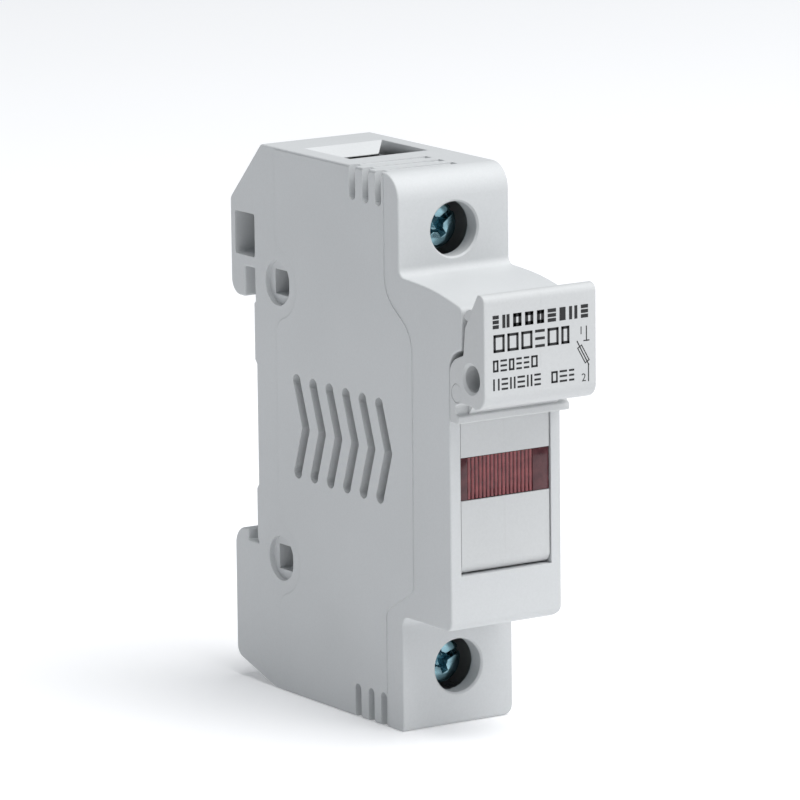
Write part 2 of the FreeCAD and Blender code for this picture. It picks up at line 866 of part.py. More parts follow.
leaf_half_width = 1.5
leaf_thickness = 0.25
leaf_route = (
    (board_back - leaf_thickness, 42.0),
    (board_back - leaf_thickness, 45.2),
    (fuse_depth + cap_radius + 0.05, 48.6),
    (fuse_depth + cap_radius + 0.6, 50.4),
)
upper_leaf = bent_leaf(leaf_route, leaf_thickness, middle_x - leaf_half_width, middle_x + leaf_half_width)
nodes["lamp_contact_upper"] = upper_leaf
nodes["lamp_contact_lower"] = mirror_z(upper_leaf, fuse_z)

os.makedirs("parts", exist_ok=True)
for node, shape in nodes.items():
    shape.exportStep("parts/" + node + ".step")
    print(node, round(shape.Volume, 1), "valid" if shape.isValid() else "INVALID", len(shape.Solids))
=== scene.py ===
import math
import random

import bpy
from mathutils import Matrix, Vector


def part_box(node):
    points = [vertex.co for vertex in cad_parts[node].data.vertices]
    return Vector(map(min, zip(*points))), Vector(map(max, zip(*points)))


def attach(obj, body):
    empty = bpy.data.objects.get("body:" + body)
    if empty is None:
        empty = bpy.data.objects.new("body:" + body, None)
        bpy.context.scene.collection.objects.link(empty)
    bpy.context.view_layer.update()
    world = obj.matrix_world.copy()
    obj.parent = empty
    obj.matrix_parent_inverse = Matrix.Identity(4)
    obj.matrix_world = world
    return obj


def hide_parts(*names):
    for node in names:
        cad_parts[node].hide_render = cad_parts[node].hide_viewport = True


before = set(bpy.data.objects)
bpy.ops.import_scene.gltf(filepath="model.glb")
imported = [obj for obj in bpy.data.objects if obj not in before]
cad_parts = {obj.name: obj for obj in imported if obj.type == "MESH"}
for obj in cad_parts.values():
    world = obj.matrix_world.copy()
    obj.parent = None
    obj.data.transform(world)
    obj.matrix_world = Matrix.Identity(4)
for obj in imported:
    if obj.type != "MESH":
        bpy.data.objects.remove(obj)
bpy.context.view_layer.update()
milli = 0.001
alongX, alongY = Vector((1, 0, 0)), Vector((0, 1, 0))
squareOn = 0.9  # a face points along an axis when its normal passes this
noiseSpan = (0.3, 0.7)  # most of a noise texture's values lie between these
print("frame loaded:", len(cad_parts), "parts")


# small helpers for modelling
def focusOn(piece):
    if bpy.context.mode != "OBJECT":
        bpy.ops.object.mode_set(mode="OBJECT")
    bpy.ops.object.select_all(action="DESELECT")
    if piece:
        piece.select_set(True)
        bpy.context.view_layer.objects.active = piece


def pickFaces(piece, wanted):  # leaves the piece in edit mode with only the wanted faces selected
    focusOn(piece)
    bpy.context.tool_settings.mesh_select_mode = (False, False, True)
    bpy.ops.object.mode_set(mode="EDIT")
    bpy.ops.mesh.select_all(action="DESELECT")
    bpy.ops.object.mode_set(mode="OBJECT")
    for face in piece.data.polygons:
        face.select = wanted(face.center, face.normal)
    bpy.ops.object.mode_set(mode="EDIT")


def bakePlace(piece):  # the place, turn and size go into the mesh
    focusOn(piece)
    bpy.ops.object.transform_apply(location=True, rotation=True, scale=True)


def addCube(low, high):
    focusOn(None)
    middle = (Vector(low) + Vector(high)) / 2
    bpy.ops.mesh.primitive_cube_add(size=1, location=middle, scale=Vector(high) - Vector(low))
    cube = bpy.context.object
    bakePlace(cube)
    return cube


def addRod(radius, length, place, sides):
    focusOn(None)
    bpy.ops.mesh.primitive_cylinder_add(radius=radius, depth=length, location=place, vertices=sides)
    rod = bpy.context.object
    bakePlace(rod)
    return rod


def useModifier(piece, kind, **settings):
    focusOn(piece)
    modifier = piece.modifiers.new(kind.title(), kind)
    for setting, value in settings.items():
        setattr(modifier, setting, value)
    bpy.ops.object.modifier_apply(modifier=modifier.name)


def roundEdges(piece, width, segments=2, angle=40):
    useModifier(piece, "BEVEL", width=width, segments=segments, limit_method="ANGLE",
                angle_limit=math.radians(angle), harden_normals=False)


def cutAway(piece, cutter):
    useModifier(piece, "BOOLEAN", object=cutter, operation="DIFFERENCE", solver="EXACT")
    bpy.data.objects.remove(cutter)


def copyOf(piece, shift):
    twin = piece.copy()
    twin.data = piece.data.copy()
    bpy.context.collection.objects.link(twin)
    twin.data.transform(Matrix.Translation(shift))
    return twin


def joinAll(pieces, name):
    focusOn(pieces[0])
    for piece in pieces:
        piece.select_set(True)
    bpy.ops.object.join()
    joined = bpy.context.object
    joined.name = name
    joined.data.name = name
    return joined


def tidyNormals(piece):
    focusOn(piece)
    bpy.ops.object.mode_set(mode="EDIT")
    bpy.ops.mesh.select_all(action="SELECT")
    bpy.ops.mesh.remove_doubles(threshold=1e-7)
    bpy.ops.mesh.normals_make_consistent(inside=False)
    bpy.ops.object.mode_set(mode="OBJECT")


def smoothShade(piece, angle=35):
    focusOn(piece)
    bpy.ops.object.shade_smooth_by_angle(angle=math.radians(angle))


# shared effects, as node groups
def newGroup(name, inputs, outputs):
    group = bpy.data.node_groups.new(name, "ShaderNodeTree")
    for label, kind, value in inputs:
        socket = group.interface.new_socket(label, in_out="INPUT", socket_type=kind)
        if value is not None:
            socket.default_value = value
    for label, kind in outputs:
        group.interface.new_socket(label, in_out="OUTPUT", socket_type=kind)
    return group, group.nodes.new("NodeGroupInput"), group.nodes.new("NodeGroupOutput")


def addNode(tree, kind, links=None, **values):  # values set sockets by name, links join them
    node = tree.nodes.new(kind)
    for label, value in values.items():
        if hasattr(node, label):
            setattr(node, label, value)
        else:
            node.inputs[label].default_value = value
    for label, source in (links or {}).items():
        tree.links.new(source, node.inputs[label])
    return node


def mathNode(tree, operation, first, second):
    node = tree.nodes.new("ShaderNodeMath")
    node.operation = operation
    for socket, value in zip(node.inputs, (first, second)):
        if isinstance(value, (int, float)):
            socket.default_value = value
        else:
            tree.links.new(value, socket)
    return node.outputs[0]


def rangeNode(tree, value, fromLow, fromHigh, toLow, toHigh):
    node = tree.nodes.new("ShaderNodeMapRange")
    tree.links.new(value, node.inputs["Value"])
    limits = {"From Min": fromLow, "From Max": fromHigh, "To Min": toLow, "To Max": toHigh}
    for label, limit in limits.items():
        if isinstance(limit, (int, float)):
            node.inputs[label].default_value = limit
        else:
            tree.links.new(limit, node.inputs[label])
    return node.outputs["Result"]


grainLook = {"detail": 4.0, "roughness": 0.62, "coarseScale": 0.31, "coarseDetail": 2.0,
             "fineShare": 0.75, "coarseShare": 0.25}


def makeGrainGroup():  # fine spark-eroded skin of a mould, as a height and as a speckle
    look = grainLook
    group, given, result = newGroup(
        "mouldGrain",
        [("Vector", "NodeSocketVector", None), ("Scale", "NodeSocketFloat", 3000.0)],
        [("Height", "NodeSocketFloat"), ("Speckle", "NodeSocketFloat")])
    place, scale = given.outputs["Vector"], given.outputs["Scale"]
    fine = addNode(group, "ShaderNodeTexNoise", {"Vector": place, "Scale": scale},
                   Detail=look["detail"], Roughness=look["roughness"])
    coarseScale = mathNode(group, "MULTIPLY", scale, look["coarseScale"])
    coarse = addNode(group, "ShaderNodeTexNoise", {"Vector": place, "Scale": coarseScale},
                     Detail=look["coarseDetail"])
    mixed = mathNode(group, "ADD", mathNode(group, "MULTIPLY", fine.outputs["Fac"], look["fineShare"]),
                     mathNode(group, "MULTIPLY", coarse.outputs["Fac"], look["coarseShare"]))
    group.links.new(mixed, result.inputs["Height"])
    group.links.new(rangeNode(group, fine.outputs["Fac"], *noiseSpan, 0.0, 1.0), result.inputs["Speckle"])
    return group


def makeDriftGroup():  # slow change of tone across a moulding
    group, given, result = newGroup(
        "toneDrift",
        [("Vector", "NodeSocketVector", None), ("Color", "NodeSocketColor", None),
         ("Scale", "NodeSocketFloat", 60.0), ("Amount", "NodeSocketFloat", 0.03)],
        [("Color", "NodeSocketColor")])
    place, scale = given.outputs["Vector"], given.outputs["Scale"]
    slow = addNode(group, "ShaderNodeTexNoise", {"Vector": place, "Scale": scale}, Detail=2.0)
    low = mathNode(group, "SUBTRACT", 1.0, given.outputs["Amount"])
    high = mathNode(group, "ADD", 1.0, given.outputs["Amount"])
    value = rangeNode(group, slow.outputs["Fac"], 0.35, 0.65, low, high)
    tint = addNode(group, "ShaderNodeHueSaturation", {"Color": given.outputs["Color"], "Value": value})
    group.links.new(tint.outputs["Color"], result.inputs["Color"])
    return group


def makeEdgeGroup():  # 1 on a rounded edge and 0 on the flat, with the rounded normal
    group, given, result = newGroup(
        "edgeLine",
        [("Radius", "NodeSocketFloat", 0.0002), ("Gain", "NodeSocketFloat", 3.0)],
        [("Mask", "NodeSocketFloat"), ("Normal", "NodeSocketVector")])
    rounded = addNode(group, "ShaderNodeBevel", {"Radius": given.outputs["Radius"]}, samples=6)
    shape = group.nodes.new("ShaderNodeNewGeometry")
    facing = group.nodes.new("ShaderNodeVectorMath")
    facing.operation = "DOT_PRODUCT"
    group.links.new(rounded.outputs["Normal"], facing.inputs[0])
    group.links.new(shape.outputs["Normal"], facing.inputs[1])
    turned = mathNode(group, "SUBTRACT", 1.0, facing.outputs["Value"])
    mask = group.nodes.new("ShaderNodeMath")
    mask.operation = "MULTIPLY"
    mask.use_clamp = True
    group.links.new(turned, mask.inputs[0])
    group.links.new(given.outputs["Gain"], mask.inputs[1])
    group.links.new(mask.outputs[0], result.inputs["Mask"])
    group.links.new(rounded.outputs["Normal"], result.inputs["Normal"])
    return group


def makeScratchGroup():  # fine brushed lines, stretched along one direction
    group, given, result = newGroup(
        "fineScratches",
        [("Vector", "NodeSocketVector", None), ("Scale", "NodeSocketFloat", 900.0),
         ("Stretch", "NodeSocketVector", (1.0, 12.0, 1.0))],
        [("Height", "NodeSocketFloat")])
    pulled = group.nodes.new("ShaderNodeVectorMath")
    pulled.operation = "MULTIPLY"
    group.links.new(given.outputs["Vector"], pulled.inputs[0])
    group.links.new(given.outputs["Stretch"], pulled.inputs[1])
    links = {"Vector": pulled.outputs[0], "Scale": given.outputs["Scale"]}
    lines = addNode(group, "ShaderNodeTexNoise", links, Detail=5.0, Roughness=0.7)
    group.links.new(lines.outputs["Fac"], result.inputs["Height"])
    return group


grainGroup = makeGrainGroup()
driftGroup = makeDriftGroup()
edgeGroup = makeEdgeGroup()
scratchGroup = makeScratchGroup()


def useGroup(tree, group, links=None, **values):
    node = tree.nodes.new("ShaderNodeGroup")
    node.node_tree = group
    for label, value in values.items():
        node.inputs[label].default_value = value
    for label, source in (links or {}).items():
        tree.links.new(source, node.inputs[label])
    return node


def startMaterial(name):
    material = bpy.data.materials.new(name)
    material.use_nodes = True
    tree = material.node_tree
    shader = tree.nodes["Principled BSDF"]
    place = tree.nodes.new("ShaderNodeTexCoord").outputs["Object"]
    return material, tree, shader, place


# finishes
# rim in these looks sets a painted highlight: how much the colour is lightened along rounded edges, where light
# would catch them
plasticLooks = {
    "housingGrey": {"color": (0.585, 0.598, 0.605), "roughness": (0.46, 0.60), "grain": 3200, "bump": 0.10,
                    "drift": 0.02, "edge": 0.00010, "rim": 0.40},
    "carrierGrey": {"color": (0.560, 0.570, 0.574), "roughness": (0.44, 0.58), "grain": 2600, "bump": 0.16,
                    "drift": 0.02, "edge": 0.00010, "rim": 0.35},
    "boardGreen": {"color": (0.03, 0.17, 0.07), "roughness": (0.30, 0.42), "grain": 1500, "bump": 0.05,
                   "drift": 0.12, "edge": 0.0001, "rim": 0.1},
    "resistorTan": {"color": (0.55, 0.40, 0.25), "roughness": (0.35, 0.50), "grain": 2500, "bump": 0.05,
                    "drift": 0.06, "edge": 0.0001, "rim": 0.1},
    "ceramicWhite": {"color": (0.80, 0.79, 0.75), "roughness": (0.22, 0.34), "grain": 900, "bump": 0.04,
                     "drift": 0.03, "edge": 0.0001, "rim": 0.1},
    "quartzSand": {"color": (0.62, 0.55, 0.42), "roughness": (0.80, 0.95), "grain": 1800, "bump": 0.9,
                   "drift": 0.20, "edge": 0.0001, "rim": 0.0},
}

metalLooks = {
    "tinnedCopper": {"color": (0.74, 0.71, 0.66), "roughness": (0.24, 0.42),
                     "stretch": (1, 1, 9), "bump": 0.10},
    "springSteel": {"color": (0.50, 0.50, 0.51), "roughness": (0.22, 0.36),
                    "stretch": (9, 1, 1), "bump": 0.10},
    "zincSteel": {"color": (0.62, 0.66, 0.68), "roughness": (0.26, 0.46),
                  "stretch": (1, 7, 1), "bump": 0.14},
    "nickelCap": {"color": (0.78, 0.76, 0.72), "roughness": (0.16, 0.30),
                  "stretch": (1, 1, 8), "bump": 0.06},
    "silverStrip": {"color": (0.90, 0.89, 0.87), "roughness": (0.20, 0.32),
                    "stretch": (1, 1, 9), "bump": 0.06},
    "blueZinc": {"color": (0.26, 0.43, 0.49), "roughness": (0.12, 0.30),
                 "stretch": (1, 5, 1), "bump": 0.10},
}


# the grey tone here is the colour screened in by the painted edge highlight
allPlastics = {"driftScale": 45.0, "edgeGain": 2.5, "speckle": (0.975, 1.025), "highlightTone": (0.5, 0.5, 0.5, 1),
               "bumpDepth": 0.0001}
allMetals = {"driftScale": 400.0, "drift": 0.10, "scratchScale": 700.0, "edge": 0.0001, "edgeGain": 1.0,
             "bumpDepth": 0.00005}


def plasticMaterial(name):
    look = {**allPlastics, **plasticLooks[name]}
    material, tree, shader, place = startMaterial(name)
    color = tree.nodes.new("ShaderNodeRGB")
    color.outputs[0].default_value = (*look["color"], 1)
    drift = useGroup(tree, driftGroup, {"Vector": place, "Color": color.outputs[0]},
                     Scale=look["driftScale"], Amount=look["drift"])
    grain = useGroup(tree, grainGroup, {"Vector": place}, Scale=look["grain"])
    edge = useGroup(tree, edgeGroup, Radius=look["edge"], Gain=look["edgeGain"])
    speck = addNode(tree, "ShaderNodeHueSaturation", {
        "Color": drift.outputs["Color"],
        "Value": rangeNode(tree, grain.outputs["Speckle"], 0.0, 1.0, *look["speckle"])})
    # painted highlight: the colour is screened towards a light grey along rounded edges, by the edge mask times
    # rim
    edgeHighlight = addNode(tree, "ShaderNodeMixRGB", {"Color1": speck.outputs["Color"]}, blend_type="SCREEN",
                   Color2=look["highlightTone"])
    tree.links.new(mathNode(tree, "MULTIPLY", edge.outputs["Mask"], look["rim"]), edgeHighlight.inputs["Fac"])
    skin = {"Height": grain.outputs["Height"], "Normal": edge.outputs["Normal"]}
    bump = addNode(tree, "ShaderNodeBump", skin, Strength=look["bump"], Distance=look["bumpDepth"])
    rough = rangeNode(tree, grain.outputs["Speckle"], 0.0, 1.0, *look["roughness"])
    tree.links.new(edgeHighlight.outputs["Color"], shader.inputs["Base Color"])
    tree.links.new(rough, shader.inputs["Roughness"])
    tree.links.new(bump.outputs["Normal"], shader.inputs["Normal"])
    return material


def metalMaterial(name):
    look = {**allMetals, **metalLooks[name]}
    material, tree, shader, place = startMaterial(name)
    shader.inputs["Metallic"].default_value = 1.0
    color = tree.nodes.new("ShaderNodeRGB")
    color.outputs[0].default_value = (*look["color"], 1)
    drift = useGroup(tree, driftGroup, {"Vector": place, "Color": color.outputs[0]},
                     Scale=look["driftScale"], Amount=look["drift"])
    scratches = useGroup(tree, scratchGroup, {"Vector": place}, Scale=look["scratchScale"],
                         Stretch=look["stretch"])
    edge = useGroup(tree, edgeGroup, Radius=look["edge"], Gain=look["edgeGain"])
    skin = {"Height": scratches.outputs["Height"], "Normal": edge.outputs["Normal"]}
    bump = addNode(tree, "ShaderNodeBump", skin, Strength=look["bump"], Distance=look["bumpDepth"])
    rough = rangeNode(tree, scratches.outputs["Height"], *noiseSpan, *look["roughness"])
    tree.links.new(drift.outputs["Color"], shader.inputs["Base Color"])
    tree.links.new(rough, shader.inputs["Roughness"])
    tree.links.new(bump.outputs["Normal"], shader.inputs["Normal"])
    return material


# one red plastic in two tones: the plain window is darkened as painted shade from the dark inside behind it,
# and the ribs are lightened as a painted highlight for light caught and reflected in them
redLooks = {
    "redWindowPaintedShade": {"dark": (0.075, 0.020, 0.026), "light": (0.125, 0.034, 0.040)},
    "redRibPaintedHighlight": {"dark": (0.24, 0.055, 0.062), "light": (0.36, 0.085, 0.092)},
}


allReds = {"scale": 900.0, "detail": 3.0, "roughness": (0.10, 0.20), "clear": 0.25, "ior": 1.49}
glassLook = {"scale": 600.0, "detail": 2.0, "dark": (0.85, 0.80, 0.72), "light": (0.95, 0.90, 0.84),
             "roughness": (0.04, 0.12), "clear": 0.85, "ior": 1.5}
inkFinish = {"scale": 2500.0, "detail": 3.0, "span": (0.35, 0.75), "dark": (0.003, 0.003, 0.004),
             "light": (0.012, 0.012, 0.014), "roughness": (0.45, 0.65)}


def redMaterial(name):
    look = {**allReds, **redLooks[name]}
    material, tree, shader, place = startMaterial(name)
    streaks = addNode(tree, "ShaderNodeTexNoise", {"Vector": place}, Scale=look["scale"], Detail=look["detail"])
    ramp = addNode(tree, "ShaderNodeValToRGB", {"Fac": streaks.outputs["Fac"]})
    ramp.color_ramp.elements[0].position = noiseSpan[0]
    ramp.color_ramp.elements[0].color = (*look["dark"], 1)
    ramp.color_ramp.elements[1].position = noiseSpan[1]
    ramp.color_ramp.elements[1].color = (*look["light"], 1)
    tree.links.new(ramp.outputs["Color"], shader.inputs["Base Color"])
    rough = rangeNode(tree, streaks.outputs["Fac"], *noiseSpan, *look["roughness"])
    tree.links.new(rough, shader.inputs["Roughness"])
    shader.inputs["Transmission Weight"].default_value = look["clear"]
    shader.inputs["IOR"].default_value = look["ior"]
    return material


def lampGlassMaterial():
    look = glassLook
    material, tree, shader, place = startMaterial("lampGlass")
    haze = addNode(tree, "ShaderNodeTexNoise", {"Vector": place}, Scale=look["scale"], Detail=look["detail"])
    ramp = addNode(tree, "ShaderNodeValToRGB", {"Fac": haze.outputs["Fac"]})
    ramp.color_ramp.elements[0].color = (*look["dark"], 1)
    ramp.color_ramp.elements[1].color = (*look["light"], 1)
    tree.links.new(ramp.outputs["Color"], shader.inputs["Base Color"])
    rough = rangeNode(tree, haze.outputs["Fac"], *noiseSpan, *look["roughness"])
    tree.links.new(rough, shader.inputs["Roughness"])
    shader.inputs["Transmission Weight"].default_value = look["clear"]
    shader.inputs["IOR"].default_value = look["ior"]
    return material


def printInkMaterial():
    look = inkFinish
    material, tree, shader, place = startMaterial("printInk")
    wear = addNode(tree, "ShaderNodeTexNoise", {"Vector": place}, Scale=look["scale"], Detail=look["detail"])
    ramp = addNode(tree, "ShaderNodeValToRGB", {"Fac": wear.outputs["Fac"]})
    for element, position, tone in zip(ramp.color_ramp.elements, look["span"], ("dark", "light")):
        element.position = position
        element.color = (*look[tone], 1)
    tree.links.new(ramp.outputs["Color"], shader.inputs["Base Color"])
    rough = rangeNode(tree, wear.outputs["Fac"], *noiseSpan, *look["roughness"])
    tree.links.new(rough, shader.inputs["Roughness"])
    return material


finishes = {name: plasticMaterial(name) for name in plasticLooks}
finishes.update({name: metalMaterial(name) for name in metalLooks})
finishes.update({name: redMaterial(name) for name in redLooks})
finishes["lampGlass"] = lampGlassMaterial()
finishes["printInk"] = printInkMaterial()

finishOfSlot = {
    "housing_grey": "housingGrey", "carrier_grey": "carrierGrey", "tin_plated_copper": "tinnedCopper",
    "spring_steel": "springSteel", "zinc_steel": "zincSteel", "nickel_cap": "nickelCap",
    "ceramic": "ceramicWhite", "silver_strip": "silverStrip", "quartz_sand": "quartzSand",
    "red_window": "redWindowPaintedShade", "board_green": "boardGreen", "lamp_glass": "lampGlass",
    "resistor_tan": "resistorTan",
}


def dressFrame():  # each carried-over part gets the finish of its own slot
    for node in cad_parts.values():
        for holder in node.material_slots:
            slotName = holder.material.name.split(".")[0]
            holder.material = finishes[finishOfSlot[slotName]]


dressFrame()
print("finishes on the frame:", len(finishes))


def finishPiece(piece, name, body, finish, replaced=()):
    piece.name = name
    piece.data.name = name
    piece.data.materials.clear()
    piece.data.materials.append(finishes[finish])
    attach(piece, body)
    for node in replaced:
        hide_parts(node)


# indicator window: a plate with vertical ribs between two plain bands
windowLook = {"node": "indicator_lens", "ribs": 17, "plainLeft": 1.1, "plainRight": 2.6, "sunk": 0.16,
              "ribRadius": 0.27, "ribProud": 0.14, "ribRoot": 0.02, "ribSides": 24,
              "edge": 0.05}


def makeWindow():
    look = windowLook
    low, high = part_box(look["node"])
    plate = addCube(low, high)
    ribLeft = low.x + look["plainLeft"] * milli
    ribRight = high.x - look["plainRight"] * milli
    for x in (ribLeft, ribRight):
        pickFaces(plate, lambda centre, normal: True)
        bpy.ops.mesh.bisect(plane_co=(x, 0, 0), plane_no=alongX)
    pickFaces(plate, lambda centre, normal: normal.y < -squareOn and ribLeft < centre.x < ribRight)
    bpy.ops.mesh.extrude_region_move(TRANSFORM_OT_translate={"value": (0, look["sunk"] * milli, 0)})
    bpy.ops.object.mode_set(mode="OBJECT")
    tidyNormals(plate)
    roundEdges(plate, look["edge"] * milli)
    floorY = low.y + look["sunk"] * milli
    pitch = (ribRight - ribLeft) / look["ribs"]
    radius = look["ribRadius"] * milli
    centreY = floorY - look["ribProud"] * milli + radius
    rib = addRod(radius, high.z - low.z - 2 * look["edge"] * milli,
                 (ribLeft + pitch / 2, centreY, (low.z + high.z) / 2), look["ribSides"])
    pickFaces(rib, lambda centre, normal: True)
    cutY = floorY + look["ribRoot"] * milli
    bpy.ops.mesh.bisect(plane_co=(0, cutY, 0), plane_no=alongY, clear_outer=True, use_fill=True)
    bpy.ops.object.mode_set(mode="OBJECT")
    ribs = [rib] + [copyOf(rib, (pitch * step, 0, 0)) for step in range(1, look["ribs"])]
    smoothShade(plate)
    # the plate takes the red darkened as painted shade, the ribs the same red lightened as painted highlight
    finishPiece(plate, "indicatorWindow", "carrier", "redWindowPaintedShade", [look["node"]])
    lines = joinAll(ribs, "indicatorRibs")
    smoothShade(lines)
    finishPiece(lines, "indicatorRibs", "carrier", "redRibPaintedHighlight")


makeWindow()
print("indicator window made")


# terminal screws: plated pan head with a crossed and slotted recess, and a thread
screwLook = {"headRadius": 3.3, "headLength": 3.2, "rim": 0.55, "armLength": 4.4, "armWidth": 1.05,
             "recessDeep": 1.9, "taper": 0.62, "slotWidth": 0.9, "slotDeep": 1.0, "coreRadius": 2.05,
             "crestRadius": 2.48, "pitch": 0.8, "turns": {"upper": 35, "lower": 20}, "smallEdge": 0.07,
             "armSlope": 0.8, "dimpleRadius": 1.5, "dimpleTaper": 0.45, "tipRound": 0.5,
             "headSides": 64, "coreSides": 40, "dimpleSides": 32}
# sunk is in millimetres; halfFoot, start and free are in thread pitches
threadLook = {"sunk": 0.05, "halfFoot": 0.45, "start": 0.6, "free": 1.2, "steps": 28}


def recessArm(deep, length, width, taper, topZ):
    arm = addCube((-length / 2, -width / 2, topZ - deep), (length / 2, width / 2, topZ + milli))
    pickFaces(arm, lambda centre, normal: normal.z < -squareOn)
    bpy.ops.transform.resize(value=(taper, screwLook["armSlope"], 1), center_override=(0, 0, topZ - deep))
    bpy.ops.object.mode_set(mode="OBJECT")
    return arm


def turned(piece, degrees):
    piece.data.transform(Matrix.Rotation(math.radians(degrees), 4, "Z"))
    return piece


def makeThread(look, low, high):  # a helical ridge round the core
    pitch = look["pitch"] * milli
    focusOn(None)
    bpy.ops.mesh.primitive_circle_add(vertices=3)
    ridge = bpy.context.object
    crest = look["crestRadius"] * milli
    root = look["coreRadius"] * milli - threadLook["sunk"] * milli
    foot = pitch * threadLook["halfFoot"]
    corners = ((crest, 0, 0), (root, 0, foot), (root, 0, -foot))
    for vertex, corner in zip(ridge.data.vertices, corners):
        vertex.co = Vector(corner) + Vector((0, 0, low + pitch * threadLook["start"]))
    rounds = int((high - low - pitch * threadLook["free"]) / pitch)
    useModifier(ridge, "SCREW", angle=math.radians(360), screw_offset=pitch, iterations=rounds, axis="Z",
                steps=threadLook["steps"], render_steps=threadLook["steps"])
    focusOn(ridge)
    bpy.ops.object.mode_set(mode="EDIT")
    bpy.ops.mesh.select_all(action="SELECT")
    bpy.ops.mesh.fill_holes(sides=3)
    bpy.ops.object.mode_set(mode="OBJECT")
    tidyNormals(ridge)
    return ridge


def makeScrew(end):
    look = screwLook
    node = end + "_terminal_screw"
    low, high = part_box(node)
    length = high.y - low.y
    headLength = look["headLength"] * milli
    headRadius = look["headRadius"] * milli
    head = addRod(headRadius, headLength, (0, 0, -headLength / 2), look["headSides"])
    pickFaces(head, lambda centre, normal: normal.z > squareOn)
    bpy.ops.mesh.bevel(offset=look["rim"] * milli, segments=6, affect="EDGES")
    bpy.ops.object.mode_set(mode="OBJECT")
    for turn in (0, 90):
        arm = recessArm(look["recessDeep"] * milli, look["armLength"] * milli, look["armWidth"] * milli,
                        look["taper"], 0)
        cutAway(head, turned(arm, turn))
    slotHalf = look["slotWidth"] * milli / 2
    reach = headRadius + milli
    slot = addCube((-reach, -slotHalf, -look["slotDeep"] * milli), (reach, slotHalf, milli))
    cutAway(head, slot)
    deep = look["recessDeep"] * milli
    dimple = addRod(look["dimpleRadius"] * milli, 2 * deep, (0, 0, 0), look["dimpleSides"])
    pickFaces(dimple, lambda centre, normal: normal.z < -squareOn)
    taper = look["dimpleTaper"]
    bpy.ops.transform.resize(value=(taper, taper, 1), center_override=(0, 0, -deep))
    bpy.ops.object.mode_set(mode="OBJECT")
    cutAway(head, dimple)
    tidyNormals(head)
    roundEdges(head, look["smallEdge"] * milli, 2, 30)
    coreLength = length - headLength
    corePlace = (0, 0, -headLength - coreLength / 2)
    core = addRod(look["coreRadius"] * milli, coreLength, corePlace, look["coreSides"])
    pickFaces(core, lambda centre, normal: normal.z < -squareOn)
    bpy.ops.mesh.bevel(offset=look["tipRound"] * milli, segments=3, affect="EDGES")
    bpy.ops.object.mode_set(mode="OBJECT")
    thread = makeThread(look, -length, -headLength)
    screw = joinAll([head, core, thread], node)
    turned(screw, look["turns"][end])
    centre = (low + high) / 2
    place = Matrix.Translation((centre.x, low.y, centre.z))
    screw.data.transform(place @ Matrix.Rotation(math.radians(90), 4, "X"))
    smoothShade(screw, 30)
    finishPiece(screw, end + "ScrewDetailed", end + "_screw", "blueZinc", [node])


for end in ("upper", "lower"):
    makeScrew(end)
print("terminal screws made")


# printing on the handle: plain bars in place of words, and the wiring symbol
inkLook = {"thick": 0.008, "bevel": 0.4, "widths": (0.55, 0.65, 0.75), "leastRoom": 0.5, "gap": 1.1,
           "rows": ({"low": 58.55, "high": 60.35, "left": -7.6, "right": 7.8, "stroke": 0.50, "seed": 3},
                    {"low": 55.35, "high": 57.75, "left": -7.5, "right": 5.4, "stroke": 0.38, "seed": 5},
                    {"low": 52.75, "high": 54.35, "left": -7.6, "right": -0.1, "stroke": 0.28, "seed": 8},
                    {"low": 50.25, "high": 51.85, "left": -7.6, "right": 0.4, "stroke": 0.28, "seed": 11},
                    {"low": 50.25, "high": 51.85, "left": 1.7, "right": 5.4, "stroke": 0.28, "seed": 13}),
           "digits": (("1", 6.15, 56.35, 1.55), ("2", 6.55, 49.95, 1.55)),
           "lines": (((7.4, 55.45), (7.4, 57.35)), ((7.0, 55.45), (7.8, 55.45)),
                     ((5.9, 55.45), (6.45, 54.45)), ((7.35, 52.85), (7.75, 52.15)),
                     ((7.7, 49.95), (7.7, 52.15)), ((6.45, 54.45), (7.35, 52.85))),
           "fuse": {"from": (6.3, 54.7), "to": (7.5, 52.6), "half": 0.36, "stroke": 0.15},
           "thinStroke": 0.17}


def addStroke(start, end, stroke):  # a flat bar between two points of the face, as (x, z)
    thick = inkLook["thick"] * milli
    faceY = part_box("carrier_left")[0].y
    start, end = Vector(start) * milli, Vector(end) * milli
    run = end - start
    half = run.length / 2 + stroke * milli / 2
    bar = addCube((-half, -thick, -stroke * milli / 2), (half, thick / 2, stroke * milli / 2))
    roundEdges(bar, thick * inkLook["bevel"], 1, 60)
    middle = (start + end) / 2
    turn = Matrix.Rotation(-math.atan2(run.y, run.x), 4, "Y")
    bar.data.transform(Matrix.Translation((middle.x, faceY, middle.y)) @ turn)
    return bar


def rowOfMarks(row):  # upright frames, pairs and stacks of bars, none of them a letter
    dice = random.Random(row["seed"])
    stroke = row["stroke"]
    height = row["high"] - row["low"]
    x = row["left"]
    bars = []
    while x < row["right"] - inkLook["leastRoom"] * height:
        wide = min(height * dice.choice(inkLook["widths"]), row["right"] - x)
        left, right = x + stroke / 2, x + wide - stroke / 2
        low, high = row["low"] + stroke / 2, row["high"] - stroke / 2
        middle = (low + high) / 2
        kind = dice.choice(("frame", "stack", "frame", "pair"))
        if kind == "frame":
            bars += [addStroke((left, z), (right, z), stroke) for z in (low, high)]
            bars += [addStroke((place, low), (place, high), stroke) for place in (left, right)]
        if kind == "stack":
            bars += [addStroke((left, z), (right, z), stroke) for z in (low, middle, high)]
        if kind == "pair":
            bars += [addStroke((place, low), (place, high), stroke) for place in (left, right)]
        x += wide + stroke * inkLook["gap"]
    return bars


def addDigit(text, x, z, size):
    focusOn(None)
    bpy.ops.object.text_add(location=(0, 0, 0))
    digit = bpy.context.object
    digit.data.body = text
    digit.data.size = size * milli
    digit.data.extrude = inkLook["thick"] * milli / 2
    bpy.ops.object.convert(target="MESH")
    digit = bpy.context.object
    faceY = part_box("carrier_left")[0].y
    place = Matrix.Translation((x * milli, faceY, z * milli))
    digit.data.transform(place @ Matrix.Rotation(math.radians(90), 4, "X"))
    return digit


